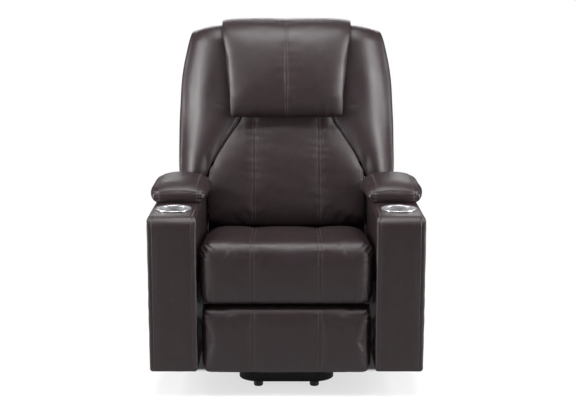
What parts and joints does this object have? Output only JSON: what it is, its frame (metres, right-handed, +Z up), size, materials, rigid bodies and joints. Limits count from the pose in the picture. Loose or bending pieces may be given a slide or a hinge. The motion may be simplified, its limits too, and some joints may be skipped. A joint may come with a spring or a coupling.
{
  "type": "lift recliner chair",
  "caption": "Power lift recliner chair: padded seat, arms with cup wells, winged back with headrest, folding footrest and reclining back on a linked steel lift base.",
  "frame": {"origin": "on the floor under the middle of the bounding box", "axes": "+Z up; the chair faces -Y; +X is to the right for someone looking at the front of the chair"},
  "size_m": [0.854, 0.8458, 1.1148],
  "materials": {
    "leather": "semi-gloss",
    "black_steel": "satin",
    "zinc_steel": "satin",
    "polished_steel": "polished",
    "wood": "raw",
    "black_plastic": "matte",
    "webbing": "woven"
  },
  "bodies": {
    "base": {"base_frame": "black_steel", "base_feet": "black_plastic", "base_pivot_pins": "zinc_steel"},
    "rear_lift_links": {"rear_lift_links": "black_steel"},
    "front_lift_links": {"front_lift_links": "black_steel"},
    "lift_actuator": {"lift_motor": "black_plastic", "lift_tube": "zinc_steel"},
    "lift_rod": {"lift_rod": "polished_steel"},
    "seat_body": {"seat_rails": "black_steel", "lift_hanger_pins": "zinc_steel", "rail_bolts": "zinc_steel", "seat_frame": "wood", "seat_springs": "zinc_steel", "seat_cushion": "leather", "arm_frame_left": "wood", "arm_frame_right": "wood", "arm_cover_left": "leather", "arm_cover_right": "leather", "arm_pad_left": "leather", "arm_pad_right": "leather", "cup_holder_left": "polished_steel", "cup_holder_right": "polished_steel", "rear_apron": "leather", "power_inlet": "black_plastic", "handset_socket": "black_plastic", "control_box": "black_plastic", "foot_pivot_pins": "zinc_steel"},
    "back": {"back_frame": "wood", "back_hinge_plates": "zinc_steel", "back_webbing": "webbing", "back_cushion": "leather", "wing_left": "leather", "wing_right": "leather", "headrest": "leather", "rear_cover": "leather", "back_hinge_pins": "zinc_steel"},
    "recline_actuator": {"recline_motor": "black_plastic", "recline_tube": "zinc_steel"},
    "recline_rod": {"recline_rod": "polished_steel"},
    "drive_links": {"drive_links": "zinc_steel"},
    "foot_rear_links": {"foot_rear_links": "zinc_steel"},
    "foot_upper_links": {"foot_upper_links": "zinc_steel"},
    "foot_front_links": {"foot_front_links": "zinc_steel"},
    "foot_lower_links": {"foot_lower_links": "zinc_steel"},
    "footrest": {"foot_brackets": "zinc_steel", "foot_board": "wood", "foot_cushion": "leather"}
  },
  "joints": [
    {"name": "lift", "type": "hinge", "parent": "base", "child": "rear_lift_links", "pos_m": [0, -0.093, 0.11], "axis": [1, 0, 0], "range_deg": [0, 59.5]},
    {"name": "seat_tilt", "type": "hinge", "parent": "rear_lift_links", "child": "seat_body", "pos_m": [0, 0.27278, 0.15297], "axis": [1, 0, 0], "range_deg": [-32.43, 0]},
    {"name": "front_lift", "type": "hinge", "parent": "base", "child": "front_lift_links", "pos_m": [0, -0.1567, 0.0883], "axis": [1, 0, 0], "range_deg": [0, 69.49]},
    {"name": "lift_actuator_swing", "type": "hinge", "parent": "base", "child": "lift_actuator", "pos_m": [0, 0.227, 0.084], "axis": [1, 0, 0], "range_deg": [0, 1.46]},
    {"name": "lift_rod_stroke", "type": "slide", "parent": "lift_actuator", "child": "lift_rod", "axis": [0, -0.9871, 0.1599], "range_m": [0, 0.06472]},
    {"name": "recline", "type": "hinge", "parent": "seat_body", "child": "back", "pos_m": [0, 0.177, 0.43], "axis": [-1, 0, 0], "range_deg": [0, 40]},
    {"name": "recline_actuator_swing", "type": "hinge", "parent": "seat_body", "child": "recline_actuator", "pos_m": [0, -0.306, 0.285], "axis": [1, 0, 0], "range_deg": [0, 0.82]},
    {"name": "recline_rod_stroke", "type": "slide", "parent": "recline_actuator", "child": "recline_rod", "axis": [0, 0.9959, 0.0906], "range_m": [-0.06862, 0]},
    {"name": "drive_link_swing", "type": "hinge", "parent": "back", "child": "drive_links", "pos_m": [0, 0.08024, 0.3159], "axis": [1, 0, 0], "range_deg": [0, 53.73]},
    {"name": "foot_rear_swing", "type": "hinge", "parent": "seat_body", "child": "foot_rear_links", "pos_m": [0, -0.1173, 0.262], "axis": [1, 0, 0], "range_deg": [-92.36, 0]},
    {"name": "foot_front_swing", "type": "hinge", "parent": "seat_body", "child": "foot_front_links", "pos_m": [0, -0.2712, 0.33], "axis": [1, 0, 0], "range_deg": [-91.08, 0]},
    {"name": "foot_upper_swing", "type": "hinge", "parent": "foot_rear_links", "child": "foot_upper_links", "pos_m": [0, -0.04507, 0.10568], "axis": [1, 0, 0], "range_deg": [0, 91.45]},
    {"name": "foot_lower_swing", "type": "hinge", "parent": "foot_front_links", "child": "foot_lower_links", "pos_m": [0, -0.16919, 0.0976], "axis": [1, 0, 0], "range_deg": [0, 88.03]},
    {"name": "footrest_swing", "type": "hinge", "parent": "foot_upper_links", "child": "footrest", "pos_m": [0, -0.34084, 0.22862], "axis": [1, 0, 0], "range_deg": [-84.61, 0]}
  ],
  "couplings": [
    {"joint": "seat_tilt", "follows": "lift", "ratio": -0.54464},
    {"joint": "front_lift", "follows": "lift", "ratio": 1.1675},
    {"joint": "lift_actuator_swing", "follows": "lift", "ratio": 0.024252},
    {"joint": "lift_rod_stroke", "follows": "lift", "m_per_rad": 0.062303},
    {"joint": "recline_actuator_swing", "follows": "recline", "ratio": 0.02},
    {"joint": "recline_rod_stroke", "follows": "recline", "m_per_rad": -0.098262},
    {"joint": "drive_link_swing", "follows": "recline", "ratio": 1.3428},
    {"joint": "foot_rear_swing", "follows": "recline", "ratio": -2.3085},
    {"joint": "foot_front_swing", "follows": "recline", "ratio": -2.2765},
    {"joint": "foot_upper_swing", "follows": "recline", "ratio": 2.2856},
    {"joint": "foot_lower_swing", "follows": "recline", "ratio": 2.2003},
    {"joint": "footrest_swing", "follows": "recline", "ratio": -2.1147}
  ]
}
